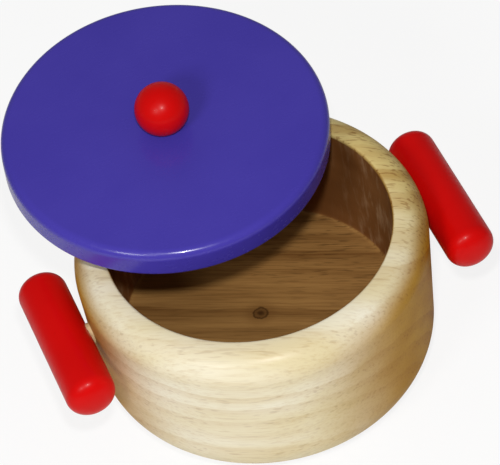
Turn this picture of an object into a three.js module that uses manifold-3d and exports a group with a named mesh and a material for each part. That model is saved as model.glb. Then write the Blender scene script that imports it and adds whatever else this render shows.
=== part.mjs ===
import * as THREE from "three";
import { mergeVertices } from "three/addons/utils/BufferGeometryUtils.js";
import Module from "manifold-3d";

// Sizes are in millimetres and angles in degrees.
// The origin is the centre of the pot's flat foot, Z is up and X runs through both handles.

// Pot: one turned block, hollowed with a straight wall and a flat floor
const mouthRadius = 52;
const wallThickness = 12.5;
const potHeight = 69;
const cavityDepth = 50;
const rimOuterWidth = 10.9;
const rimOuterDrop = 10.5;
const rimInnerRounding = 1.2;
const floorFillet = 1.5;
const wallTaper = 1.3;
const footRounding = 18.5;

// Handles: straight rods with rounded ends, each held off the wall by one peg
const handleRadius = 9.2;
const handleLength = 63;
const handleEndRounding = 5.5;
const handleEndDome = 0.8;
const handleDrop = 23.5;
const handleStandOff = 0.7;

// Pegs that join the handles to the wall
const pegRadius = 4;
const pegDepthInWall = 8;
const pegDepthInHandle = 10;
const pegChamfer = 0.6;

// Lid: a painted disc over a smaller plug that fits the mouth
const lidOverhang = 7.9;
const lidThickness = 11;
const lidTopRounding = 3.2;
const lidLowerRounding = 1.1;
const plugClearance = 1.5;
const plugHeight = 7;
const plugChamfer = 0.8;

// Knob: a ball with a flat seat, held by a dowel through the lid
const knobRadius = 9.9;
const knobSeatCut = 1.5;
const dowelRadius = 3;
const dowelDepthInKnob = 9;
const dowelDepthInPlug = 4;
const dowelChamfer = 0.5;

// Where the lid lies: pushed back off the mouth and leaning a little into it
const lidOffset = 45.7;
const lidBearing = 106.8;
const lidLean = 4.2;

// Fits
const glueGap = 0.3;
const holeGap = 0.25;
const restGap = 0.3;

// Fineness of the turned surfaces
const potSegments = 60;
const lidSegments = 56;
const handleSegments = 28;
const knobSegments = 28;
const pegSegments = 20;
const broadArcSteps = 6;
const smallArcSteps = 3;
const knobArcSteps = 10;

// Colours and surfaces
const paleWood = { color: 0xeadec8, roughness: 0.38, metalness: 0 };
const rawWood = { color: 0xd8bf94, roughness: 0.62, metalness: 0 };
const redPaint = { color: 0xd21110, roughness: 0.3, metalness: 0 };
const bluePaint = { color: 0x44399a, roughness: 0.26, metalness: 0 };

// Derived sizes
const halfTurn = Math.PI;
const quarterTurn = Math.PI / 2;
const outerRadius = mouthRadius + wallThickness;
const floorHeight = potHeight - cavityDepth;
const shoulderHeight = potHeight - rimOuterDrop;
const lowerRadius = outerRadius - wallTaper;
const handleHeight = potHeight - handleDrop;
const handleShare = (shoulderHeight - handleHeight) / (shoulderHeight - footRounding);
const wallAtHandle = outerRadius - wallTaper * handleShare;
const handleFace = wallAtHandle + handleStandOff;
const handleAxis = handleFace + handleRadius;
const wallHoleEnd = wallAtHandle - pegDepthInWall;
const handleHoleEnd = handleFace + pegDepthInHandle;
const lidRadius = mouthRadius + lidOverhang;
const plugRadius = mouthRadius - plugClearance;
const plugDrop = plugHeight + glueGap;
const rimCrest = mouthRadius + rimInnerRounding;
const lean = THREE.MathUtils.degToRad(lidLean);
const bearing = THREE.MathUtils.degToRad(lidBearing);

// The plug's edge meets the rim on a chord, which carries the leaning lid
const crestSquared = rimCrest * rimCrest;
const offsetSquared = lidOffset * lidOffset;
const plugSquared = plugRadius * plugRadius;
const chordReach = (crestSquared + offsetSquared - plugSquared) / (lidOffset + lidOffset);
const leanRise = (lidOffset - chordReach) * Math.tan(lean);
const lidHeight = potHeight + restGap + plugDrop / Math.cos(lean) + leanRise;

const wasm = await Module();
wasm.setup();

// Points along a quarter of an ellipse about a centre, from one angle to another
function arc(centreR, centreZ, radiusR, radiusZ, from, to, steps) {
  const points = [];
  for (let step = 0; step <= steps; step += 1) {
    const angle = from + ((to - from) * step) / steps;
    const r = centreR + radiusR * Math.cos(angle);
    const z = centreZ + radiusZ * Math.sin(angle);
    points.push(new THREE.Vector2(Math.max(r, 0), z));
  }
  return points;
}

// A solid of revolution about Z from a profile of radius and height
function turned(profile, segments) {
  const geometry = new THREE.LatheGeometry(profile, segments);
  return geometry.rotateX(quarterTurn);
}

// A closed body ready for joining and cutting
function solidOf(geometry) {
  const bare = geometry.clone();
  bare.deleteAttribute("normal");
  bare.deleteAttribute("uv");
  const merged = mergeVertices(bare);
  const vertProperties = new Float32Array(merged.attributes.position.array);
  const triVerts = new Uint32Array(merged.index.array);
  return new wasm.Manifold(new wasm.Mesh({ numProp: 3, vertProperties, triVerts }));
}

// The surface of a finished body
function surfaceOf(solid) {
  const cut = solid.getMesh();
  const geometry = new THREE.BufferGeometry();
  const positions = new Float32Array(cut.vertProperties);
  const corners = new Uint32Array(cut.triVerts);
  geometry.setAttribute("position", new THREE.BufferAttribute(positions, 3));
  geometry.setIndex(new THREE.BufferAttribute(corners, 1));
  geometry.computeVertexNormals();
  return geometry;
}

// A named piece with its finish
function piece(name, geometry, finish) {
  const mesh = new THREE.Mesh(geometry, new THREE.MeshStandardMaterial(finish));
  mesh.name = name;
  return mesh;
}

// A round pin about Z with chamfered ends
function pin(radius, low, high, chamfer, segments) {
  const profile = [
    new THREE.Vector2(0, low),
    new THREE.Vector2(radius - chamfer, low),
    new THREE.Vector2(radius, low + chamfer),
    new THREE.Vector2(radius, high - chamfer),
    new THREE.Vector2(radius - chamfer, high),
    new THREE.Vector2(0, high),
  ];
  return turned(profile, segments);
}

// A round bore about Z
function bore(radius, low, high, segments) {
  const profile = [
    new THREE.Vector2(0, low),
    new THREE.Vector2(radius, low),
    new THREE.Vector2(radius, high),
    new THREE.Vector2(0, high),
  ];
  return turned(profile, segments);
}

// Lays a shape that stands along Z out along X on the given side at handle height
function layOutward(geometry, side) {
  geometry.rotateY(side * quarterTurn);
  return geometry.translate(0, 0, handleHeight);
}

// Pot
function potBody() {
  const footRadius = lowerRadius - footRounding;
  const rimStart = outerRadius - rimOuterWidth;
  const filletRadius = mouthRadius - floorFillet;
  const profile = [
    new THREE.Vector2(0, 0),
    ...arc(footRadius, footRounding, footRounding, footRounding, -quarterTurn, 0, broadArcSteps),
    ...arc(rimStart, shoulderHeight, rimOuterWidth, rimOuterDrop, 0, quarterTurn, broadArcSteps),
    ...arc(rimCrest, potHeight - rimInnerRounding, rimInnerRounding, rimInnerRounding,
      quarterTurn, halfTurn, smallArcSteps),
    ...arc(filletRadius, floorHeight + floorFillet, floorFillet, floorFillet,
      0, -quarterTurn, smallArcSteps),
    new THREE.Vector2(0, floorHeight),
  ];
  let solid = solidOf(turned(profile, potSegments));
  for (const side of [-1, 1]) {
    const hole = bore(pegRadius + holeGap, wallHoleEnd, handleAxis, pegSegments);
    solid = solid.subtract(solidOf(layOutward(hole, side)));
  }
  return piece("pot_body", surfaceOf(solid), paleWood);
}

// Handle rod along Y with a blind hole facing the wall
function handleRod(name, side) {
  const halfLength = handleLength / 2;
  const shoulder = halfLength - handleEndDome - handleEndRounding;
  const endRadius = handleRadius - handleEndRounding;
  const profile = [
    new THREE.Vector2(0, -halfLength),
    ...arc(endRadius, -shoulder, handleEndRounding, handleEndRounding,
      -quarterTurn, 0, broadArcSteps),
    ...arc(endRadius, shoulder, handleEndRounding, handleEndRounding,
      0, quarterTurn, broadArcSteps),
    new THREE.Vector2(0, halfLength),
  ];
  const rod = turned(profile, handleSegments).rotateX(quarterTurn);
  rod.translate(side * handleAxis, 0, handleHeight);
  const hole = bore(pegRadius + holeGap, wallAtHandle, handleHoleEnd, pegSegments);
  const solid = solidOf(rod).subtract(solidOf(layOutward(hole, side)));
  return piece(name, surfaceOf(solid), redPaint);
}

// Peg from inside the wall to inside the rod
function handlePeg(name, side) {
  const low = wallHoleEnd + glueGap;
  const high = handleHoleEnd - glueGap;
  const peg = pin(pegRadius, low, high, pegChamfer, pegSegments);
  return piece(name, layOutward(peg, side), rawWood);
}

// Lid disc, with its underside at its own zero height
function lidDisc() {
  const lowerEdge = lidRadius - lidLowerRounding;
  const upperEdge = lidRadius - lidTopRounding;
  const profile = [
    new THREE.Vector2(0, 0),
    ...arc(lowerEdge, lidLowerRounding, lidLowerRounding, lidLowerRounding,
      -quarterTurn, 0, smallArcSteps),
    ...arc(upperEdge, lidThickness - lidTopRounding, lidTopRounding, lidTopRounding,
      0, quarterTurn, broadArcSteps),
    new THREE.Vector2(0, lidThickness),
  ];
  const hole = bore(dowelRadius + holeGap, -lidThickness, lidThickness + lidThickness, pegSegments);
  const solid = solidOf(turned(profile, lidSegments)).subtract(solidOf(hole));
  return piece("lid_disc", surfaceOf(solid), bluePaint);
}

// Plug under the lid, with a blind hole from above
function lidPlug() {
  const low = -plugDrop;
  const profile = [
    new THREE.Vector2(0, low),
    new THREE.Vector2(plugRadius - plugChamfer, low),
    new THREE.Vector2(plugRadius, low + plugChamfer),
    new THREE.Vector2(plugRadius, -glueGap),
    new THREE.Vector2(0, -glueGap),
  ];
  const hole = bore(dowelRadius + holeGap, -glueGap - dowelDepthInPlug, 0, pegSegments);
  const solid = solidOf(turned(profile, lidSegments)).subtract(solidOf(hole));
  return piece("lid_plug", surfaceOf(solid), rawWood);
}

// Ball knob with a flat seat and a blind hole from below
function lidKnob() {
  const seat = lidThickness + glueGap;
  const centre = seat + knobRadius - knobSeatCut;
  const seatAngle = Math.asin((seat - centre) / knobRadius);
  const profile = [
    new THREE.Vector2(0, seat),
    ...arc(0, centre, knobRadius, knobRadius, seatAngle, quarterTurn, knobArcSteps),
  ];
  const hole = bore(dowelRadius + holeGap, lidThickness, seat + dowelDepthInKnob, pegSegments);
  const solid = solidOf(turned(profile, knobSegments)).subtract(solidOf(hole));
  return piece("lid_knob", surfaceOf(solid), redPaint);
}

// Dowel from inside the plug to inside the knob
function knobDowel() {
  const low = -dowelDepthInPlug;
  const high = lidThickness + dowelDepthInKnob;
  return piece("knob_dowel", pin(dowelRadius, low, high, dowelChamfer, pegSegments), rawWood);
}

// The lid with its plug and knob, lying off the mouth and leaning towards its middle
function lidGroup() {
  const group = new THREE.Group();
  group.name = "lid";
  group.add(lidDisc(), lidPlug(), lidKnob(), knobDowel());
  group.rotation.set(0, -lean, bearing, "ZYX");
  const reachX = lidOffset * Math.cos(bearing);
  const reachY = lidOffset * Math.sin(bearing);
  group.position.set(reachX, reachY, lidHeight);
  return group;
}

const soupPot = new THREE.Group();
soupPot.name = "soup_pot";
soupPot.add(potBody());
soupPot.add(handleRod("handle_rod_left", -1), handlePeg("handle_peg_left", -1));
soupPot.add(handleRod("handle_rod_right", 1), handlePeg("handle_peg_right", 1));
soupPot.add(lidGroup());

export default soupPot;
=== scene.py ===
"""Toy soup pot: a turned wooden pot with red rod handles and a loose violet-blue lid.

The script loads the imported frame, lays fine turned surfaces over its solids, gives each
finish its grain, lacquer or paint, and sets the photograph's camera and a soft studio.
Sizes are in millimetres and angles in degrees; Blender's own values are in metres.
"""

import logging
from dataclasses import dataclass
from enum import Enum
from typing import NamedTuple, Sequence, Union

import bpy
import numpy as np
import numpy.typing as npt
from mathutils import Matrix, Vector


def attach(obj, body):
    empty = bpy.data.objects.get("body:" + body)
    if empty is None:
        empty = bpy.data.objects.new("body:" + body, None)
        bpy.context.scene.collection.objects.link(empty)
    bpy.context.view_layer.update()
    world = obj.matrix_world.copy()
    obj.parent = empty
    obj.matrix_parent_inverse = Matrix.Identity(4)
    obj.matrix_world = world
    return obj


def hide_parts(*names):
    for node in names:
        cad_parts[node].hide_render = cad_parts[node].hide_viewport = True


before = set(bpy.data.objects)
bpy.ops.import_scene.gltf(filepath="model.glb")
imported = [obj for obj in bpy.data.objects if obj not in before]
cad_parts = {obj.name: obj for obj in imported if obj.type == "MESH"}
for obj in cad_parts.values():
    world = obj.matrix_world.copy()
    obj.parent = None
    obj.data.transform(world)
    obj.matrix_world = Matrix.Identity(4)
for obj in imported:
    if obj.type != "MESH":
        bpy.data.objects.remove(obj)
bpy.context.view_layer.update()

LOG = logging.getLogger("soup_pot")
MM = 0.001
MM_PER_METRE = 1000.0
PHOTO_WIDTH = 500
QUARTER_TURN = 90.0
WHITE = (1.0, 1.0, 1.0, 1.0)

# Ends of an arc in a profile, whose radius runs to the right and whose height runs up
DOWN, OUTWARD, UP, INWARD = -90.0, 0.0, 90.0, 180.0

# Places of the colour sockets on Blender's Mix node
MIX_FIRST, MIX_SECOND, MIX_RESULT = 6, 7, 2

Array = npt.NDArray[np.float64]
Pair = tuple[float, float]
Triple = tuple[float, float, float]
Material = bpy.types.Material
Node = bpy.types.Node
NodeTree = bpy.types.NodeTree
Socket = bpy.types.NodeSocket
Entry = Union[Socket, float, tuple]


class BodyName(Enum):
    """The rigid bodies of the frame that pieces ride on."""

    POT = "pot"
    LID = "lid"


class SlotName(Enum):
    """The material slots of the record."""

    PALE_WOOD = "pale_wood"
    RAW_WOOD = "raw_wood"
    RED_PAINT = "red_paint"
    BLUE_PAINT = "blue_paint"


class Side(Enum):
    """The side of the pot that a handle is on, as a sign along X."""

    LEFT = -1
    RIGHT = 1


class Axis(Enum):
    """The axes of the frame."""

    X = "X"
    Y = "Y"
    Z = "Z"


class Colour(NamedTuple):
    """A colour as it is seen on a screen, from 0 to 255."""

    red: float
    green: float
    blue: float

    def linear(self) -> tuple[float, float, float, float]:
        """Gives the colour as linear light, by the usual screen curve.

        Returns:
            Red, green and blue from 0 to 1, with full alpha.
        """
        seen = np.array(self, dtype=float) / 255.0
        low = seen / 12.92
        high = ((seen + 0.055) / 1.055) ** 2.4
        light = np.where(seen <= 0.04045, low, high)
        return (float(light[0]), float(light[1]), float(light[2]), 1.0)


class Surface(NamedTuple):
    """Points of a mesh in millimetres and the corner numbers of its faces."""

    points: Array
    faces: list[list[int]]


class Ramp(NamedTuple):
    """An eased change from start to end while a value goes from low to high."""

    low: float
    high: float
    start: float = 0.0
    end: float = 1.0

    def around(self, middle: float) -> "Ramp":
        """Gives the same change with a middle value added to its results."""
        return Ramp(self.low, self.high, middle + self.start, middle + self.end)


class Pattern(NamedTuple):
    """A layer of fractal noise: steps per millimetre along each axis, and its finer layers."""

    scale: Triple
    detail: float
    rough: float


def arc(centre: Pair, radii: Pair, start: float, end: float, count: int) -> Array:
    """Makes part of an ellipse: r = centre r + a cos t and z = centre z + b sin t.

    Args:
        centre: Radius and height of the ellipse's centre.
        radii: Half width a and half height b.
        start: First value of t, in degrees.
        end: Last value of t, in degrees.
        count: Number of points.

    Returns:
        One row of radius and height for each point.
    """
    turn = np.radians(np.linspace(start, end, count))
    radius = centre[0] + radii[0] * np.cos(turn)
    height = centre[1] + radii[1] * np.sin(turn)
    return np.column_stack((np.maximum(radius, 0.0), height))


def straight(start: Pair, end: Pair, count: int) -> Array:
    """Makes a straight run whose points crowd towards both ends: s = (1 - cos u) / 2.

    Args:
        start: Radius and height of the first end.
        end: Radius and height of the last end.
        count: Number of points.

    Returns:
        One row of radius and height for each point, without the two ends.
    """
    share = (1.0 - np.cos(np.linspace(0.0, np.pi, count + 2)[1:-1])) / 2.0
    first = np.array(start)
    return first + share[:, None] * (np.array(end) - first)


def joined(*runs: Sequence) -> Array:
    """Joins points, straight runs and arcs, in order, into one profile."""
    return np.concatenate([np.asarray(run) for run in runs])


def pin_profile(radius: float, low: float, high: float, chamfer: float) -> Array:
    """Makes the outline of a round pin, straight between two chamfered ends.

    Args:
        radius: Radius of the pin.
        low: Height of its lower end.
        high: Height of its upper end.
        chamfer: Width and height of each chamfer.

    Returns:
        One row of radius and height for each corner.
    """
    inner = radius - chamfer
    lower = [(0.0, low), (inner, low), (radius, low + chamfer)]
    upper = [(radius, high - chamfer), (inner, high), (0.0, high)]
    return np.array(lower + upper)


def turned(profile: Array, turns: int) -> Surface:
    """Turns a profile about Z: each (r, z) becomes (r cos a, r sin a, z).

    The profile starts and ends on the axis, so both poles close in a fan.

    Args:
        profile: Rows of radius and height, from the lower pole round to the last pole.
        turns: Number of steps round the axis.

    Returns:
        The closed surface, with its faces pointing outwards.
    """
    angle = np.linspace(0.0, 2.0 * np.pi, turns, endpoint=False)
    rings = profile[1:-1]
    grid = np.stack(
        (
            rings[:, :1] * np.cos(angle),
            rings[:, :1] * np.sin(angle),
            np.repeat(rings[:, 1:], turns, axis=1),
        ),
        axis=-1,
    )
    poles = np.zeros((2, 3))
    poles[:, 2] = profile[[0, -1], 1]
    points = np.concatenate((poles, grid.reshape(-1, 3)))

    number = np.arange(len(rings) * turns).reshape(len(rings), turns) + len(poles)
    onward = np.roll(number, -1, axis=1)
    quads = np.stack((number[:-1], onward[:-1], onward[1:], number[1:]), axis=-1)
    lower = np.column_stack((np.zeros(turns, int), onward[0], number[0]))
    upper = np.column_stack((np.ones(turns, int), number[-1], onward[-1]))
    faces = quads.reshape(-1, 4).tolist() + lower.tolist() + upper.tolist()
    return Surface(points, faces)


def turn_about(axis: Axis, degrees: float) -> Array:
    """Gives the right-handed rotation about an axis as a three by three array."""
    return np.array(Matrix.Rotation(np.radians(degrees), 3, axis.value))


def moved(surface: Surface, turn: Array, shift: Sequence[float]) -> Surface:
    """Carries a surface to its place: p becomes turn p + shift, in millimetres."""
    return Surface(surface.points @ turn.T + np.array(shift), surface.faces)


def add_piece(
    name: str,
    surface: Surface,
    material: Material,
    body: BodyName,
    stands_for: str,
) -> None:
    """Puts a finished surface into the scene, at the origin, in place of a node of the frame.

    Args:
        name: The piece's name.
        surface: Its points and faces.
        material: Its finish.
        body: The body that it moves with.
        stands_for: The node that it replaces.
    """
    mesh = bpy.data.meshes.new(name)
    mesh.from_pydata((surface.points * MM).tolist(), [], surface.faces)
    mesh.polygons.foreach_set("use_smooth", np.ones(len(mesh.polygons), dtype=bool))
    mesh.materials.append(material)
    mesh.update()
    piece = bpy.data.objects.new(name, mesh)
    bpy.context.collection.objects.link(piece)
    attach(piece, body.value)
    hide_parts(stands_for)
    LOG.info("%s stands for %s on %s", name, stands_for, body.value)


class Wiring:
    """Makes and joins the nodes of one material, world or node group."""

    def __init__(self, tree: NodeTree) -> None:
        """Starts on an empty or existing tree."""
        self.tree = tree

    def add(self, kind: str, **settings: object) -> Node:
        """Adds a node and sets its properties.

        Args:
            kind: Blender's name of the node type.
            **settings: Properties of the node by name.

        Returns:
            The new node.
        """
        node = self.tree.nodes.new(kind)
        for name, value in settings.items():
            setattr(node, name, value)
        return node

    def feed(self, target: Socket, value: Entry) -> None:
        """Joins a socket to an input, or sets the input's own value.

        Args:
            target: The input.
            value: A socket, or a plain number, vector or colour.
        """
        if isinstance(value, Socket):
            self.tree.links.new(value, target)
        else:
            target.default_value = value

    def sum(self, kind: str, first: Entry, second: Entry = 0.0, third: Entry = 0.0) -> Socket:
        """Works out a number with a Math node.

        Args:
            kind: The operation.
            first: First number or socket.
            second: Second number or socket, where the operation has one.
            third: Third number or socket, where the operation has one.

        Returns:
            The result's socket.
        """
        node = self.add("ShaderNodeMath", operation=kind)
        for target, value in zip(node.inputs, (first, second, third)):
            self.feed(target, value)
        return node.outputs[0]

    def vector(self, kind: str, first: Entry, second: Entry = (0.0, 0.0, 0.0)) -> Socket:
        """Works out a vector with a Vector Math node.

        Args:
            kind: The operation.
            first: First vector or socket.
            second: Second vector or socket.

        Returns:
            The result's socket, which is a number for lengths and products.
        """
        node = self.add("ShaderNodeVectorMath", operation=kind)
        self.feed(node.inputs[0], first)
        self.feed(node.inputs[1], second)
        scalar = kind in ("LENGTH", "DOT_PRODUCT")
        return node.outputs["Value" if scalar else "Vector"]

    def span(self, value: Entry, ramp: Ramp) -> Socket:
        """Eases a value along a ramp.

        Args:
            value: The number to map.
            ramp: Where the change begins and ends, and its results there.

        Returns:
            The mapped number's socket.
        """
        node = self.add("ShaderNodeMapRange", interpolation_type="SMOOTHSTEP")
        self.feed(node.inputs["Value"], value)
        for name, entry in zip(("From Min", "From Max", "To Min", "To Max"), ramp):
            self.feed(node.inputs[name], entry)
        return node.outputs["Result"]

    def noise(self, point: Socket, pattern: Pattern) -> Socket:
        """Makes fractal noise on a stretched point.

        Args:
            point: The place, in millimetres.
            pattern: The noise's scale and layers.

        Returns:
            The noise's socket, near 0.5 on average.
        """
        node = self.add("ShaderNodeTexNoise")
        self.feed(node.inputs["Vector"], self.vector("MULTIPLY", point, pattern.scale))
        node.inputs["Scale"].default_value = 1.0
        node.inputs["Detail"].default_value = pattern.detail
        node.inputs["Roughness"].default_value = pattern.rough
        return node.outputs["Fac"]

    def swing(self, point: Socket, pattern: Pattern, reach: float) -> Socket:
        """Makes noise that swings between minus and plus a reach, near 0 on average."""
        return self.sum("MULTIPLY_ADD", self.noise(point, pattern), 2.0 * reach, -reach)

    def blend(self, share: Entry, first: Entry, second: Entry, kind: str = "MIX") -> Socket:
        """Mixes two colours.

        Args:
            share: How much of the second colour is taken.
            first: Colour or socket at share 0.
            second: Colour or socket at share 1.
            kind: The blend mode.

        Returns:
            The mixed colour's socket.
        """
        node = self.add("ShaderNodeMix", data_type="RGBA", blend_type=kind, clamp_factor=True)
        self.feed(node.inputs["Factor"], share)
        self.feed(node.inputs[MIX_FIRST], first)
        self.feed(node.inputs[MIX_SECOND], second)
        return node.outputs[MIX_RESULT]

    def height_of(self, vector: Socket) -> Socket:
        """Gives the Z part of a vector."""
        return self.vector("DOT_PRODUCT", vector, (0.0, 0.0, 1.0))

    def place(self) -> Socket:
        """Gives the place on the piece, in millimetres."""
        source = self.add("ShaderNodeTexCoord")
        return self.vector("MULTIPLY", source.outputs["Object"], (MM_PER_METRE,) * 3)

    def facing(self) -> Socket:
        """Gives the direction that the surface faces, in the piece's own frame."""
        return self.add("ShaderNodeTexCoord").outputs["Normal"]

    def relief(self, shader: Node, height: Socket, strength: float, depth: float) -> None:
        """Gives a shader a bumpy surface.

        Args:
            shader: The Principled shader.
            height: The relief.
            strength: How strongly it shows.
            depth: Its depth, in millimetres.
        """
        bump = self.add("ShaderNodeBump")
        bump.inputs["Strength"].default_value = strength
        bump.inputs["Distance"].default_value = depth * MM
        self.feed(bump.inputs["Height"], height)
        self.feed(shader.inputs["Normal"], bump.outputs["Normal"])


def new_material(name: str) -> tuple[Material, Wiring, Node]:
    """Starts a material.

    Args:
        name: The material's name.

    Returns:
        The material, its wiring and its Principled shader.
    """
    material = bpy.data.materials.new(name)
    material.use_nodes = True
    return material, Wiring(material.node_tree), material.node_tree.nodes["Principled BSDF"]


def new_group(
    name: str,
    vectors: Sequence[str],
    numbers: Sequence[str],
    outputs: Sequence[str],
) -> NodeTree:
    """Starts a shader node group with named sockets.

    Args:
        name: The group's name.
        vectors: Name of each vector input.
        numbers: Name of each number input.
        outputs: Name of each output, all of them numbers.

    Returns:
        The group, which still holds no nodes.
    """
    group = bpy.data.node_groups.new(name, "ShaderNodeTree")
    rows = [(label, "INPUT", "NodeSocketVector") for label in vectors]
    rows += [(label, "INPUT", "NodeSocketFloat") for label in numbers]
    rows += [(label, "OUTPUT", "NodeSocketFloat") for label in outputs]
    for label, way, kind in rows:
        group.interface.new_socket(name=label, in_out=way, socket_type=kind)
    return group


class Grain(NamedTuple):
    """A placed grain group: its material's wiring, its masks and the share of end grain."""

    wire: Wiring
    mask: bpy.types.bpy_prop_collection
    end: Socket


@dataclass(frozen=True)
class WoodGrain:
    """The grain of one block of wood that grew along X.

    Growth rings are circles about a pith line along X, bent by slow noise: a place's share of
    its ring is the fraction of (distance from the pith + bend + ripple) / ring width. Rings
    are the thin dark lines of late wood, and bands the broad golden stretches before them.
    Fibre and pores are noise drawn out along X, so they show as dashes along the grain and as
    dots on a face that cuts across it. The heart mask goes from 0 to 1 across a plane in the
    block, towards the pot's back and right, away from the lamps: it is partly heartwood tone and
    partly painted shade there, and pores are dense beyond it.
    """

    bend: Pattern = Pattern((0.006, 0.03, 0.03), 2.0, 0.5)
    bend_reach: float = 8.0
    ripple: Pattern = Pattern((0.02, 0.35, 0.35), 2.0, 0.6)
    ripple_reach: float = 0.8
    ring_axes: Triple = (0.05, 1.0, 1.0)
    late_power: float = 5.0
    band: Ramp = Ramp(0.25, 0.7)
    ring_end: Ramp = Ramp(0.9, 1.0, 1.0, 0.0)
    season_scale: float = 0.7
    season_strength: Ramp = Ramp(0.3, 0.7, 0.25, 1.0)
    fibre: Pattern = Pattern((0.035, 1.1, 1.1), 4.0, 0.65)
    # heart mask: partly heartwood tone, partly painted shade that darkens the back and right
    heart: Ramp = Ramp(-28.0, 28.0)
    dash: Pattern = Pattern((0.13, 1.0, 1.0), 1.5, 0.5)
    dash_cut: Ramp = Ramp(0.545, 0.68)
    dash_in_bands: Ramp = Ramp(0.1, 0.6, 0.1, 0.26)
    dash_in_heart_and_shade: float = 0.62
    patch: Pattern = Pattern((0.008, 0.045, 0.045), 2.0, 0.5)

    def group(self) -> NodeTree:
        """Makes the shared node group.

        Returns:
            The group, with a Point input in millimetres and masks of 0 to 1 as outputs.
        """
        group = new_group(
            "grown_wood",
            ("Point", "Pith", "Heart Way"),
            ("Ring Width", "Heart Edge"),
            ("Rings", "Bands", "Fibre", "Pores", "Patch", "Heart"),
        )
        wire = Wiring(group)
        source = wire.add("NodeGroupInput").outputs
        result = wire.add("NodeGroupOutput").inputs
        point = source["Point"]

        bend = wire.swing(point, self.bend, self.bend_reach)
        ripple = wire.swing(point, self.ripple, self.ripple_reach)
        from_pith = wire.vector("SUBTRACT", point, source["Pith"])
        across = wire.vector("LENGTH", wire.vector("MULTIPLY", from_pith, self.ring_axes))
        reach = wire.sum("ADD", across, wire.sum("ADD", bend, ripple))
        count = wire.sum("DIVIDE", reach, source["Ring Width"])
        share = wire.sum("FRACT", count)

        season = wire.add("ShaderNodeTexNoise", noise_dimensions="1D")
        wire.feed(season.inputs["W"], count)
        season.inputs["Scale"].default_value = self.season_scale
        strength = wire.span(season.outputs["Fac"], self.season_strength)
        ending = wire.span(share, self.ring_end)
        late = wire.sum("MULTIPLY", wire.sum("POWER", share, self.late_power), ending)
        broad = wire.sum("MULTIPLY", wire.span(share, self.band), ending)
        bands = wire.sum("MULTIPLY", broad, strength)

        # heart mask across a plane towards the back and right: partly heartwood tone, partly
        # painted shade
        towards_heart_and_shade = wire.vector("DOT_PRODUCT", point, source["Heart Way"])
        past_edge = wire.sum("SUBTRACT", towards_heart_and_shade, source["Heart Edge"])
        heart = wire.span(wire.sum("ADD", past_edge, bend), self.heart)
        in_heart = wire.sum("MULTIPLY", heart, self.dash_in_heart_and_shade)
        dense = wire.sum("ADD", wire.span(bands, self.dash_in_bands), in_heart)
        dashes = wire.span(wire.noise(point, self.dash), self.dash_cut)

        wire.feed(result["Rings"], wire.sum("MULTIPLY", late, strength))
        wire.feed(result["Bands"], bands)
        wire.feed(result["Fibre"], wire.noise(point, self.fibre))
        wire.feed(result["Pores"], wire.sum("MULTIPLY", dashes, dense))
        wire.feed(result["Patch"], wire.noise(point, self.patch))
        wire.feed(result["Heart"], heart)
        return group


@dataclass(frozen=True)
class PaintCoat:
    """The unevenness of gloss paint on wood.

    Slow waves are where the coat ran, fine peel is its skin, and faint long lines are the
    wood's grain under it. Specks are sparse dots of dust caught in the coat.
    """

    waves: Pattern = Pattern((0.09, 0.09, 0.09), 1.0, 0.4)
    peel: Pattern = Pattern((0.75, 0.75, 0.75), 2.0, 0.5)
    peel_height: float = 0.25
    lines: Pattern = Pattern((0.03, 0.9, 0.9), 3.0, 0.6)
    line_height: float = 0.3
    cloud: Pattern = Pattern((0.03, 0.03, 0.03), 3.0, 0.55)
    speck: Pattern = Pattern((0.55, 0.55, 0.55), 0.0, 0.0)
    speck_cut: Ramp = Ramp(0.8, 0.86)
    handling: Pattern = Pattern((0.12, 0.2, 0.16), 4.0, 0.7)

    def group(self) -> NodeTree:
        """Makes the shared node group.

        Returns:
            The group, with a Point input in millimetres.
        """
        group = new_group("painted_coat", ("Point",), (), ("Height", "Cloud", "Specks", "Handling"))
        wire = Wiring(group)
        point = wire.add("NodeGroupInput").outputs["Point"]
        result = wire.add("NodeGroupOutput").inputs

        waves = wire.noise(point, self.waves)
        lined = wire.sum("MULTIPLY_ADD", wire.noise(point, self.lines), self.line_height, waves)
        height = wire.sum("MULTIPLY_ADD", wire.noise(point, self.peel), self.peel_height, lined)
        wire.feed(result["Height"], height)
        wire.feed(result["Cloud"], wire.noise(point, self.cloud))
        wire.feed(result["Specks"], wire.span(wire.noise(point, self.speck), self.speck_cut))
        wire.feed(result["Handling"], wire.noise(point, self.handling))
        return group


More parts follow.
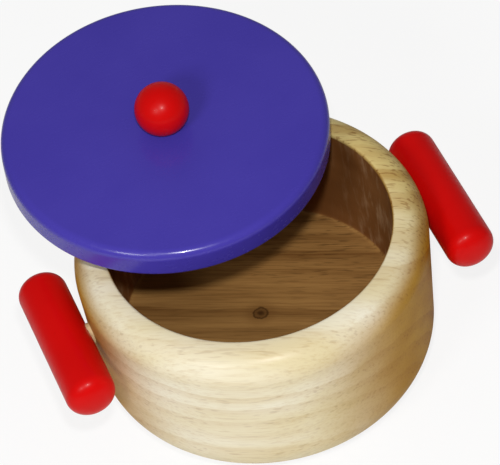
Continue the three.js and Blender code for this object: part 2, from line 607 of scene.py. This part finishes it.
@dataclass(frozen=True, kw_only=True)
class WoodFinish:
    """Wood with its grain along one direction, bare or under clear lacquer.

    The heart's tint and the end grain's tint darken the colour that they are laid on. On the
    lacquered pot both are partly the wood's own tone and partly painted shade: the heart's tint
    and its deeper golden bands darken the back and right, and the strong end-grain tint darkens
    the right side. Bearing is the grain's turn about Z, and pith, heart way and heart edge are in
    the turned frame.
    """

    name: str
    early: Colour
    late: Colour
    fibre: Colour
    golden: Colour
    heart_and_shade_tint: Colour
    pore: Colour
    end_grain: Colour
    grain_bearing: float
    pith: Triple
    ring_width: float
    heart_and_shade_way: Triple
    heart_and_shade_edge: float
    roughness: float
    gloss: float
    coat: float
    coat_roughness: float = 0.3
    patches: Ramp = Ramp(0.3, 0.7)
    pale_bands: float = 0.13
    heart_and_shade_bands: float = 0.8
    ring_share: float = 0.22
    streaks: Ramp = Ramp(0.45, 0.72, 0.0, 0.26)
    pore_share: float = 0.75
    end_facing: Ramp = Ramp(0.35, 0.92)
    end_in_heart_and_shade: Ramp = Ramp(0.5, 1.0, 1.0, 0.74)
    fibre_sheen: Ramp = Ramp(0.3, 0.75, -0.05, 0.08)
    pore_depth: float = 0.8
    relief_strength: float = 0.12
    relief_depth: float = 0.3

    def grain_point(self, wire: Wiring) -> Socket:
        """Turns the place so that X runs along the grain.

        Args:
            wire: The material's wiring.

        Returns:
            The turned place's socket, in millimetres.
        """
        turn = wire.add("ShaderNodeMapping")
        wire.feed(turn.inputs["Vector"], wire.add("ShaderNodeTexCoord").outputs["Object"])
        turn.inputs["Rotation"].default_value = (0.0, 0.0, -np.radians(self.grain_bearing))
        turn.inputs["Scale"].default_value = (MM_PER_METRE,) * 3
        return turn.outputs["Vector"]

    def end_share(self, wire: Wiring) -> Socket:
        """Finds where the face cuts across the grain.

        Args:
            wire: The material's wiring.

        Returns:
            A socket that goes from 0 to 1 there.
        """
        bearing = np.radians(self.grain_bearing)
        along = (float(np.cos(bearing)), float(np.sin(bearing)), 0.0)
        facing = wire.vector("DOT_PRODUCT", wire.facing(), along)
        return wire.span(wire.sum("ABSOLUTE", facing), self.end_facing)

    def colour_of(self, grain: Grain) -> Socket:
        """Builds the wood's colour.

        Args:
            grain: The masks that it is built from.

        Returns:
            The colour's socket.
        """
        wire, mask, end = grain
        patches = wire.span(mask["Patch"], self.patches)
        tone = wire.blend(patches, self.early.linear(), self.fibre.linear())
        # heart tint and deeper golden bands: partly heartwood tone, partly painted shade on the
        # back and right
        tone = wire.blend(mask["Heart"], tone, self.heart_and_shade_tint.linear(), "MULTIPLY")
        depth = wire.sum("MULTIPLY_ADD", mask["Heart"], self.heart_and_shade_bands, self.pale_bands)
        tone = wire.blend(wire.sum("MULTIPLY", mask["Bands"], depth), tone, self.golden.linear())
        rings = wire.sum("MULTIPLY", mask["Rings"], self.ring_share)
        tone = wire.blend(rings, tone, self.late.linear())
        tone = wire.blend(wire.span(mask["Fibre"], self.streaks), tone, self.late.linear())
        pores = wire.sum("MULTIPLY", mask["Pores"], self.pore_share)
        tone = wire.blend(pores, tone, self.pore.linear())
        # end-grain tint: the wood's own end-grain tone, made strong on the lacquered pot to paint
        # the shade of its right side
        tinted = wire.sum("MULTIPLY", end, wire.span(mask["Heart"], self.end_in_heart_and_shade))
        return wire.blend(tinted, tone, self.end_grain.linear(), "MULTIPLY")

    def material(self, grain_tree: NodeTree) -> Material:
        """Makes the material.

        Args:
            grain_tree: The shared grain group.

        Returns:
            The finished material.
        """
        material, wire, shader = new_material(self.name)
        group = wire.add("ShaderNodeGroup", node_tree=grain_tree)
        wire.feed(group.inputs["Point"], self.grain_point(wire))
        group.inputs["Pith"].default_value = self.pith
        group.inputs["Ring Width"].default_value = self.ring_width
        group.inputs["Heart Way"].default_value = self.heart_and_shade_way
        group.inputs["Heart Edge"].default_value = self.heart_and_shade_edge
        mask = group.outputs

        colour = self.colour_of(Grain(wire, mask, self.end_share(wire)))
        wire.feed(shader.inputs["Base Color"], colour)
        sheen = self.fibre_sheen.around(self.roughness)
        wire.feed(shader.inputs["Roughness"], wire.span(mask["Fibre"], sheen))
        shader.inputs["Specular IOR Level"].default_value = self.gloss
        shader.inputs["Coat Weight"].default_value = self.coat
        shader.inputs["Coat Roughness"].default_value = self.coat_roughness
        dented = wire.sum("MULTIPLY_ADD", mask["Pores"], -self.pore_depth, mask["Fibre"])
        wire.relief(shader, dented, self.relief_strength, self.relief_depth)
        return material


@dataclass(frozen=True, kw_only=True)
class HollowedWoodFinish(WoodFinish):
    """Lacquered wood whose hollow is brown, with a knot in its floor and torn grain on its wall.

    The pale streaks on the wall, where it cuts across the grain, are partly torn grain and partly
    painted highlight streaks. The brown fades out just past the hollow's wall and mouth, and under
    its floor. The knot's ramps count its radius as 1.
    """

    mouth_radius: float
    mouth_edge: float
    side_fade: Pair = (0.1, 0.6)
    top_fade: Pair = (-0.7, 0.1)
    under_floor: Ramp = Ramp(6.0, 10.0)
    hollow_early: Colour = Colour(174, 130, 74)
    hollow_late: Colour = Colour(112, 74, 36)
    floor_bands: float = 0.35
    floor_streaks: Ramp = Ramp(0.38, 0.7, 0.0, 0.35)
    floor_patches: Ramp = Ramp(0.35, 0.65, 0.0, 0.35)
    floor_pores: float = 0.6
    knot_place: Pair = (-0.6, 1.5)
    knot_radius: float = 2.6
    knot_axes: Triple = (0.95, 1.0, 0.0)
    knot_colour: Colour = Colour(66, 41, 19)
    knot_noise: Pattern = Pattern((0.6, 0.6, 0.6), 2.0, 0.5)
    knot_wobble: float = 0.7
    knot_heart: Ramp = Ramp(0.2, 0.7, 0.95, 0.45)
    knot_edge: Ramp = Ramp(0.85, 1.1, 1.0, 0.0)
    bark_inside: Ramp = Ramp(0.7, 0.9)
    bark_outside: Ramp = Ramp(1.0, 1.2, 0.8, 0.0)
    knot_halo: Ramp = Ramp(1.0, 3.0, 0.4, 0.0)
    wall_early: Colour = Colour(137, 90, 50)
    wall_late: Colour = Colour(114, 70, 34)
    upright: Ramp = Ramp(0.3, 0.7, 1.0, 0.0)
    # pale colour of torn grain and of painted highlight streaks on the hollow's wall
    torn: Colour = Colour(182, 148, 112)
    tear_and_highlight_noise: Pattern = Pattern((0.3, 0.3, 0.07), 3.0, 0.6)
    tear_and_highlight_cut: Ramp = Ramp(0.46, 0.72, 0.0, 0.65)

    def hollow_share(self, wire: Wiring) -> Socket:
        """Tells the hollow from the outside.

        Args:
            wire: The material's wiring.

        Returns:
            A socket that is 1 in the hollow and 0 elsewhere.
        """
        point = wire.place()
        radius = wire.vector("LENGTH", wire.vector("MULTIPLY", point, (1.0, 1.0, 0.0)))
        side = Ramp(*(self.mouth_radius + fade for fade in self.side_fade), 1.0, 0.0)
        top = Ramp(*(self.mouth_edge + fade for fade in self.top_fade), 1.0, 0.0)
        height = wire.height_of(point)
        below_mouth = wire.sum("MULTIPLY", wire.span(radius, side), wire.span(height, top))
        return wire.sum("MULTIPLY", below_mouth, wire.span(height, self.under_floor))

    def floor_tone(self, grain: Grain) -> Socket:
        """Builds the brown of the hollow's floor.

        Args:
            grain: The masks that it is built from.

        Returns:
            The colour's socket.
        """
        wire, mask, _ = grain
        streaks = wire.span(mask["Fibre"], self.floor_streaks)
        lines = wire.sum("MULTIPLY_ADD", mask["Bands"], self.floor_bands, streaks)
        dark = wire.sum("ADD", lines, wire.span(mask["Patch"], self.floor_patches))
        tone = wire.blend(dark, self.hollow_early.linear(), self.hollow_late.linear())
        pores = wire.sum("MULTIPLY", mask["Pores"], self.floor_pores)
        return wire.blend(pores, tone, self.knot_colour.linear())

    def knotted(self, wire: Wiring, tone: Socket) -> Socket:
        """Lays the knot on the floor: a dark heart, a ring of bark and a faint halo.

        Args:
            wire: The material's wiring.
            tone: The floor's colour.

        Returns:
            The colour's socket.
        """
        point = wire.place()
        offset = wire.vector("SUBTRACT", point, (*self.knot_place, 0.0))
        across = wire.vector("LENGTH", wire.vector("MULTIPLY", offset, self.knot_axes))
        wobbly = wire.sum("ADD", across, wire.swing(point, self.knot_noise, self.knot_wobble))
        reach = wire.sum("DIVIDE", wobbly, self.knot_radius)
        heart = wire.span(reach, self.knot_heart)
        disc = wire.sum("MULTIPLY", heart, wire.span(reach, self.knot_edge))
        outside = wire.span(reach, self.bark_outside)
        bark = wire.sum("MULTIPLY", wire.span(reach, self.bark_inside), outside)
        tone = wire.blend(wire.span(reach, self.knot_halo), tone, self.hollow_late.linear())
        return wire.blend(wire.sum("MAXIMUM", disc, bark), tone, self.knot_colour.linear())

    def wall_tone(self, grain: Grain) -> Socket:
        """Builds the brown of the hollow's wall, with pale torn grain where it is cut across.

        Args:
            grain: The masks that it is built from.

        Returns:
            The colour's socket.
        """
        wire, mask, end = grain
        patches = wire.span(mask["Patch"], self.patches)
        tone = wire.blend(patches, self.wall_early.linear(), self.wall_late.linear())
        # pale streaks where the wall cuts the grain: partly torn grain, partly painted highlight
        # streaks
        tear_and_highlight = wire.span(wire.noise(wire.place(), self.tear_and_highlight_noise), self.tear_and_highlight_cut)
        return wire.blend(wire.sum("MULTIPLY", tear_and_highlight, end), tone, self.torn.linear())

    def colour_of(self, grain: Grain) -> Socket:
        """Adds the brown hollow, its knot and its torn grain to the outer colour.

        Args:
            grain: The masks that it is built from.

        Returns:
            The colour's socket.
        """
        wire = grain.wire
        floor = self.knotted(wire, self.floor_tone(grain))
        level = wire.sum("ABSOLUTE", wire.height_of(wire.facing()))
        inner = wire.blend(wire.span(level, self.upright), floor, self.wall_tone(grain))
        return wire.blend(self.hollow_share(wire), super().colour_of(grain), inner)


@dataclass(frozen=True, kw_only=True)
class PaintFinish:
    """Gloss paint over wood."""

    name: str
    colour: Colour
    deep: Colour
    roughness: float
    gloss: float
    coat: float
    coat_roughness: float = 0.08
    clouds: Ramp = Ramp(0.3, 0.7, 0.0, 0.4)
    speck_share: float = 0.25
    handling_sheen: Ramp = Ramp(0.35, 0.75, -0.04, 0.08)
    relief_strength: float = 0.1
    relief_depth: float = 0.4

    def material(self, coat_tree: NodeTree) -> Material:
        """Makes the material.

        Args:
            coat_tree: The shared group of paint unevenness.

        Returns:
            The finished material.
        """
        material, wire, shader = new_material(self.name)
        coat = wire.add("ShaderNodeGroup", node_tree=coat_tree)
        wire.feed(coat.inputs["Point"], wire.place())
        mask = coat.outputs

        clouds = wire.span(mask["Cloud"], self.clouds)
        tone = wire.blend(clouds, self.colour.linear(), self.deep.linear())
        specks = wire.sum("MULTIPLY", mask["Specks"], self.speck_share)
        wire.feed(shader.inputs["Base Color"], wire.blend(specks, tone, self.deep.linear()))
        sheen = self.handling_sheen.around(self.roughness)
        wire.feed(shader.inputs["Roughness"], wire.span(mask["Handling"], sheen))
        shader.inputs["Specular IOR Level"].default_value = self.gloss
        shader.inputs["Coat Weight"].default_value = self.coat
        shader.inputs["Coat Roughness"].default_value = self.coat_roughness
        wire.relief(shader, mask["Height"], self.relief_strength, self.relief_depth)
        return material


@dataclass(frozen=True)
class Palette:
    """All finishes of the pot, made once."""

    lacquered: Material
    bare: Material
    red: Material
    blue: Material

    @classmethod
    def mixed(cls, pot: "PotBody") -> "Palette":
        """Mixes each finish from the shared groups.

        Args:
            pot: The pot, whose mouth bounds the brown hollow.

        Returns:
            The finishes.
        """
        grain = WoodGrain().group()
        coat = PaintCoat().group()
        lacquered = HollowedWoodFinish(
            name="lacquered_pale_wood",
            early=Colour(241, 234, 212),
            late=Colour(194, 160, 98),
            fibre=Colour(225, 210, 168),
            golden=Colour(188, 148, 76),
            # heart tint, way and edge: partly heartwood tone, partly painted shade on the pot's
            # back and right
            heart_and_shade_tint=Colour(244, 228, 172),
            pore=Colour(140, 88, 34),
            # end-grain tint: end-grain tone and painted shade of the pot's right side
            end_grain=Colour(196, 154, 62),
            grain_bearing=-27.5,
            pith=(0.0, -70.0, -38.0),
            ring_width=8.5,
            heart_and_shade_way=(0.38, 0.92, 0.0),
            heart_and_shade_edge=22.0,
            roughness=0.42,
            gloss=0.0,
            coat=0.3,
            mouth_radius=pot.mouth_radius,
            mouth_edge=pot.height - pot.rim_inner,
        )
        bare = WoodFinish(
            name="bare_wood",
            early=Colour(222, 200, 158),
            late=Colour(186, 152, 102),
            fibre=Colour(210, 184, 138),
            golden=Colour(202, 172, 120),
            heart_and_shade_tint=Colour(240, 226, 190),
            pore=Colour(140, 104, 64),
            end_grain=Colour(214, 200, 172),
            grain_bearing=0.0,
            pith=(0.0, -60.0, 20.0),
            ring_width=4.0,
            heart_and_shade_way=(0.0, 1.0, 0.0),
            heart_and_shade_edge=500.0,
            roughness=0.58,
            gloss=0.12,
            coat=0.0,
        )
        red = PaintFinish(
            name="red_gloss_paint",
            colour=Colour(212, 8, 7),
            deep=Colour(194, 5, 4),
            roughness=0.34,
            gloss=0.11,
            coat=0.02,
        )
        blue = PaintFinish(
            name="violet_blue_gloss_paint",
            colour=Colour(70, 59, 167),
            deep=Colour(62, 51, 159),
            roughness=0.25,
            gloss=0.3,
            coat=0.12,
        )
        return cls(
            lacquered.material(grain),
            bare.material(grain),
            red.material(coat),
            blue.material(coat),
        )


@dataclass
class PotBody:
    """The turned pot: straight hollow, broad rounded rim and rounded foot."""

    mouth_radius: float = 52.0
    wall: float = 12.5
    height: float = 69.0
    depth: float = 50.0
    rim_width: float = 10.9
    rim_drop: float = 10.5
    rim_inner: float = 1.2
    floor_fillet: float = 1.5
    taper: float = 1.3
    foot_rounding: float = 18.5
    turns: int = 240

    @property
    def outer_radius(self) -> float:
        """Largest radius, just under the rim."""
        return self.mouth_radius + self.wall

    @property
    def shoulder(self) -> float:
        """Height where the rim's rounding begins."""
        return self.height - self.rim_drop

    def wall_at(self, height: float) -> float:
        """Gives the outer radius of the tapered wall at a height above the foot."""
        share = (self.shoulder - height) / (self.shoulder - self.foot_rounding)
        return self.outer_radius - self.taper * share

    def profile(self) -> Array:
        """Gives the outline from the foot's centre round the rim to the floor's centre.

        Returns:
            One row of radius and height for each point.
        """
        floor = self.height - self.depth
        low = self.outer_radius - self.taper
        foot = low - self.foot_rounding
        crest = self.outer_radius - self.rim_width
        inner_crest = self.mouth_radius + self.rim_inner
        mouth_edge = self.height - self.rim_inner
        fillet = self.mouth_radius - self.floor_fillet
        fillet_top = floor + self.floor_fillet
        return joined(
            [(0.0, 0.0)],
            straight((0.0, 0.0), (foot, 0.0), count=14),
            arc((foot, self.foot_rounding), (self.foot_rounding,) * 2, DOWN, OUTWARD, count=20),
            straight((low, self.foot_rounding), (self.outer_radius, self.shoulder), count=22),
            arc((crest, self.shoulder), (self.rim_width, self.rim_drop), OUTWARD, UP, count=26),
            arc((inner_crest, mouth_edge), (self.rim_inner,) * 2, UP, INWARD, count=10),
            straight((self.mouth_radius, mouth_edge), (self.mouth_radius, fillet_top), count=22),
            arc((fillet, fillet_top), (self.floor_fillet,) * 2, OUTWARD, DOWN, count=8),
            straight((fillet, floor), (0.0, floor), count=20),
            [(0.0, floor)],
        )

    def build(self, palette: Palette) -> None:
        """Makes the pot's piece.

        Args:
            palette: The finishes.
        """
        surface = turned(self.profile(), self.turns)
        wood = palette.lacquered
        add_piece("turned_pot", surface, wood, BodyName.POT, "pot_body")


@dataclass
class Handles:
    """Two red rods along Y, each on one wooden peg along X."""

    pot: PotBody
    radius: float = 9.2
    length: float = 63.0
    end_length: float = 6.4
    end_power: float = 2.3
    end_steps: int = 30
    drop: float = 23.5
    stand_off: float = 0.7
    peg_radius: float = 4.0
    peg_in_wall: float = 8.0
    peg_in_rod: float = 10.0
    peg_chamfer: float = 0.6
    glue_gap: float = 0.3
    turns: int = 96

    @property
    def level(self) -> float:
        """Height of the rods' axes."""
        return self.pot.height - self.drop

    @property
    def face(self) -> float:
        """Distance from the pot's axis to the near face of a rod."""
        return self.pot.wall_at(self.level) + self.stand_off

    def rod_profile(self) -> Array:
        """Gives a rod's outline along its own axis, from one tip to the other.

        Each end is a superellipse: (r / R)^p + (s / e)^p = 1 over the end's length e,
        which rounds the edge strongly and leaves the tip only slightly domed.

        Returns:
            One row of radius and height for each point.
        """
        shoulder = self.length / 2.0 - self.end_length
        power = 2.0 / self.end_power
        turn = np.radians(np.linspace(OUTWARD, UP, self.end_steps))
        radius = self.radius * np.cos(turn) ** power
        height = shoulder + self.end_length * np.sin(turn) ** power
        radius[-1] = 0.0
        end = np.column_stack((radius, height))
        middle = straight((self.radius, -shoulder), (self.radius, shoulder), count=24)
        return joined(end[::-1] * (1.0, -1.0), middle, end)

    def peg_profile(self) -> Array:
        """Gives a peg's outline along X from inside the wall to inside the rod.

        Returns:
            One row of radius and height for each point.
        """
        low = self.pot.wall_at(self.level) - self.peg_in_wall + self.glue_gap
        high = self.face + self.peg_in_rod - self.glue_gap
        return pin_profile(self.peg_radius, low, high, self.peg_chamfer)

    def build(self, palette: Palette) -> None:
        """Makes both rods and both pegs.

        Args:
            palette: The finishes.
        """
        rod = turned(self.rod_profile(), self.turns)
        peg = turned(self.peg_profile(), self.turns)
        for side in Side:
            name = side.name.lower()
            sign = side.value
            rod_place = (sign * (self.face + self.radius), 0.0, self.level)
            add_piece(
                f"red_rod_{name}",
                moved(rod, turn_about(Axis.X, QUARTER_TURN), rod_place),
                palette.red,
                BodyName.POT,
                f"handle_rod_{name}",
            )
            add_piece(
                f"wooden_peg_{name}",
                moved(peg, turn_about(Axis.Y, sign * QUARTER_TURN), (0.0, 0.0, self.level)),
                palette.bare,
                BodyName.POT,
                f"handle_peg_{name}",
            )


@dataclass
class Lid:
    """The loose lid: a painted disc with a plug below and a ball knob above."""

    pot: PotBody
    overhang: float = 7.9
    thickness: float = 11.0
    top_rounding: float = 3.2
    lower_rounding: float = 1.1
    plug_clearance: float = 1.5
    plug_height: float = 7.0
    plug_chamfer: float = 0.8
    knob_radius: float = 9.9
    knob_seat_cut: float = 1.5
    dowel_radius: float = 3.0
    dowel_in_knob: float = 9.0
    dowel_in_plug: float = 4.0
    dowel_chamfer: float = 0.5
    offset: float = 45.7
    bearing: float = 106.8
    lean: float = 4.2
    glue_gap: float = 0.3
    rest_gap: float = 0.3
    turns: int = 240

    @property
    def radius(self) -> float:
        """Radius of the painted disc."""
        return self.pot.mouth_radius + self.overhang

    @property
    def plug_radius(self) -> float:
        """Radius of the plug that fits the mouth."""
        return self.pot.mouth_radius - self.plug_clearance

    def placed(self, surface: Surface) -> Surface:
        """Lays a piece of the lid on the rim, leaning towards the middle of the mouth.

        The plug's edge meets the rim's crest on a chord at (c^2 + d^2 - p^2) / 2d from the
        pot's axis, and the lid's height above the rim follows from its lean about it.

        Args:
            surface: The piece in the lid's own frame, with the disc's underside at zero.

        Returns:
            The piece in the frame of the pot.
        """
        crest = self.pot.mouth_radius + self.pot.rim_inner
        chord = (crest**2 + self.offset**2 - self.plug_radius**2) / (2.0 * self.offset)
        lean = np.radians(self.lean)
        drop = (self.plug_height + self.glue_gap) / np.cos(lean)
        height = self.pot.height + self.rest_gap + drop + (self.offset - chord) * np.tan(lean)
        bearing = np.radians(self.bearing)
        place = (self.offset * np.cos(bearing), self.offset * np.sin(bearing), height)
        turn = turn_about(Axis.Z, self.bearing) @ turn_about(Axis.Y, -self.lean)
        return moved(surface, turn, place)

    def disc_profile(self) -> Array:
        """Gives the disc's outline from its underside to its top.

        Returns:
            One row of radius and height for each point.
        """
        lower = self.radius - self.lower_rounding
        upper = self.radius - self.top_rounding
        top = self.thickness - self.top_rounding
        return joined(
            [(0.0, 0.0)],
            straight((0.0, 0.0), (lower, 0.0), count=16),
            arc((lower, self.lower_rounding), (self.lower_rounding,) * 2, DOWN, OUTWARD, count=8),
            straight((self.radius, self.lower_rounding), (self.radius, top), count=8),
            arc((upper, top), (self.top_rounding,) * 2, OUTWARD, UP, count=18),
            straight((upper, self.thickness), (0.0, self.thickness), count=24),
            [(0.0, self.thickness)],
        )

    def plug_profile(self) -> Array:
        """Gives the plug's outline below the disc, with a small chamfer at its lower edge.

        Returns:
            One row of radius and height for each point.
        """
        low = -self.plug_height - self.glue_gap
        top = -self.glue_gap
        radius = self.plug_radius
        inner = radius - self.plug_chamfer
        edge = low + self.plug_chamfer
        return joined(
            [(0.0, low)],
            straight((0.0, low), (inner, low), count=14),
            [(inner, low), (radius, edge)],
            straight((radius, edge), (radius, top), count=4),
            [(radius, top)],
            straight((radius, top), (0.0, top), count=14),
            [(0.0, top)],
        )

    def knob_profile(self) -> Array:
        """Gives the ball's outline from the centre of its flat seat to its top.

        Returns:
            One row of radius and height for each point.
        """
        seat = self.thickness + self.glue_gap
        centre = seat + self.knob_radius - self.knob_seat_cut
        angle = float(np.degrees(np.arcsin((seat - centre) / self.knob_radius)))
        ball = arc((0.0, centre), (self.knob_radius,) * 2, angle, UP, count=56)
        return joined([(0.0, seat)], ball)

    def dowel_profile(self) -> Array:
        """Gives the dowel's outline from inside the plug to inside the knob."""
        high = self.thickness + self.dowel_in_knob
        return pin_profile(self.dowel_radius, -self.dowel_in_plug, high, self.dowel_chamfer)

    def build(self, palette: Palette) -> None:
        """Makes the disc, plug, knob and dowel.

        Args:
            palette: The finishes.
        """
        rows = (
            ("painted_disc", self.disc_profile(), palette.blue, SlotName.BLUE_PAINT, "lid_disc"),
            ("locating_plug", self.plug_profile(), palette.bare, SlotName.RAW_WOOD, "lid_plug"),
            ("ball_knob", self.knob_profile(), palette.red, SlotName.RED_PAINT, "lid_knob"),
            ("knob_pin", self.dowel_profile(), palette.bare, SlotName.RAW_WOOD, "knob_dowel"),
        )
        for name, profile, material, slot, node in rows:
            surface = self.placed(turned(profile, self.turns))
            add_piece(name, surface, material, BodyName.LID, node)


class Lamp(NamedTuple):
    """A square lamp that faces the pot; its bearing counts from the camera's, to the right.

    A lamp that is not mirrored lights the pot's colours and doesn't show in their gloss.
    """

    name: str
    bearing: float
    elevation: float
    reach: float
    size: float
    watts: float
    mirrored: bool = True


@dataclass
class Studio:
    """Camera at the photograph's angle, soft lamps, pale floor and white surroundings."""

    pot: PotBody
    azimuth: float = -14.26
    elevation: float = 48.56
    roll: float = 10.28
    distance: float = 1040.0
    focal_pixels: float = 2902.0
    aim_offset: Pair = (-2.33, -5.17)
    sensor_width: float = 36.0
    clip_metres: Pair = (0.05, 20.0)
    lamps: tuple[Lamp, ...] = (
        Lamp("key", 0.5, 55.5, 760.0, 36.0, 3.12),
        Lamp("left_soft", -33.74, 41.0, 900.0, 200.0, 2.1),
        Lamp("back_soft", 180.0, 20.0, 1200.0, 700.0, 1.7, mirrored=False),
    )
    world_strength: float = 0.185
    floor_size: float = 3000.0
    floor_colour: Colour = Colour(246, 245, 243)
    floor_roughness: float = 0.9
    floor_gloss: float = 0.1
    floor_glow: float = 0.85

    def outward(self, azimuth: float, elevation: float) -> Vector:
        """Gives the direction from the pot to a place round it; azimuth 0 is towards -Y."""
        a, e = np.radians((azimuth, elevation))
        return Vector((np.sin(a) * np.cos(e), -np.cos(a) * np.cos(e), np.sin(e)))

    def axes(self) -> tuple[Vector, Vector, Vector]:
        """Works out how the camera is turned.

        Returns:
            Its right, up and backward directions.
        """
        a, r = np.radians((self.azimuth, self.roll))
        back = self.outward(self.azimuth, self.elevation)
        level = Vector((np.cos(a), np.sin(a), 0.0))
        upright = back.cross(level)
        right = level * np.cos(r) - upright * np.sin(r)
        up = level * np.sin(r) + upright * np.cos(r)
        return right, up, back

    def camera(self) -> None:
        """Sets the camera so that the mouth's centre falls where the photograph has it."""
        right, up, back = self.axes()
        data = bpy.data.cameras.new("camera")
        data.sensor_width = self.sensor_width
        data.lens = self.sensor_width * self.focal_pixels / PHOTO_WIDTH
        data.clip_start, data.clip_end = self.clip_metres
        view = bpy.data.objects.new("camera", data)
        bpy.context.collection.objects.link(view)
        step = self.distance / self.focal_pixels
        aim = Vector((0.0, 0.0, self.pot.height))
        aim += up * (self.aim_offset[1] * step) - right * (self.aim_offset[0] * step)
        place = Matrix.Translation((aim + back * self.distance) * MM)
        view.matrix_world = place @ Matrix((right, up, back)).transposed().to_4x4()
        bpy.context.scene.camera = view

    def hang(self, lamp: Lamp) -> None:
        """Hangs one lamp.

        Args:
            lamp: Its place, size and strength.
        """
        back = self.outward(self.azimuth + lamp.bearing, lamp.elevation)
        data = bpy.data.lights.new(lamp.name, "AREA")
        data.shape = "SQUARE"
        data.size = lamp.size * MM
        data.energy = lamp.watts
        hung = bpy.data.objects.new(lamp.name, data)
        hung.location = (Vector((0.0, 0.0, self.pot.height / 2.0)) + back * lamp.reach) * MM
        hung.rotation_euler = back.to_track_quat("Z", "Y").to_euler()
        hung.visible_glossy = lamp.mirrored
        bpy.context.collection.objects.link(hung)

    def world(self) -> None:
        """Makes plain surroundings that light softly and look white to the camera."""
        world = bpy.data.worlds.new("white_room")
        world.use_nodes = True
        bpy.context.scene.world = world
        wire = Wiring(world.node_tree)
        ground = world.node_tree.nodes["Background"]
        ray = wire.add("ShaderNodeLightPath").outputs
        seen = wire.sum("MAXIMUM", ray["Is Camera Ray"], ray["Is Transmission Ray"])
        level = wire.sum("MULTIPLY_ADD", seen, 1.0 - self.world_strength, self.world_strength)
        ground.inputs["Color"].default_value = WHITE
        wire.feed(ground.inputs["Strength"], level)

    def floor_finish(self) -> Material:
        """Makes a pale matt floor that glows to the camera alone, so that it stays near white.

        Returns:
            The finished material.
        """
        material, wire, shader = new_material("pale_floor")
        shader.inputs["Base Color"].default_value = self.floor_colour.linear()
        shader.inputs["Roughness"].default_value = self.floor_roughness
        shader.inputs["Specular IOR Level"].default_value = self.floor_gloss
        ray = wire.add("ShaderNodeLightPath").outputs
        mix = wire.add("ShaderNodeMixShader")
        wire.feed(mix.inputs[0], wire.sum("MULTIPLY", ray["Is Camera Ray"], self.floor_glow))
        wire.feed(mix.inputs[1], shader.outputs[0])
        wire.feed(mix.inputs[2], wire.add("ShaderNodeEmission").outputs[0])
        wire.feed(material.node_tree.nodes["Material Output"].inputs["Surface"], mix.outputs[0])
        return material

    def floor(self) -> None:
        """Lays a square floor that takes the pot's shadow."""
        half = self.floor_size / 2.0
        corners = [(-half, -half, 0.0), (half, -half, 0.0), (half, half, 0.0), (-half, half, 0.0)]
        mesh = bpy.data.meshes.new("floor")
        mesh.from_pydata((np.array(corners) * MM).tolist(), [], [[0, 1, 2, 3]])
        mesh.materials.append(self.floor_finish())
        floor = bpy.data.objects.new("floor", mesh)
        bpy.context.collection.objects.link(floor)

    def build(self) -> None:
        """Sets up camera, lamps, surroundings and floor."""
        self.camera()
        for lamp in self.lamps:
            self.hang(lamp)
        self.world()
        self.floor()
        bpy.context.scene.view_settings.view_transform = "Standard"


def main() -> None:
    """Builds the pot, its handles, its lid and the studio."""
    logging.basicConfig(level=logging.INFO, format="%(name)s: %(message)s")
    pot = PotBody()
    palette = Palette.mixed(pot)
    pot.build(palette)
    Handles(pot).build(palette)
    Lid(pot).build(palette)
    Studio(pot).build()
    bpy.context.view_layer.update()


if __name__ == "__main__":
    main()
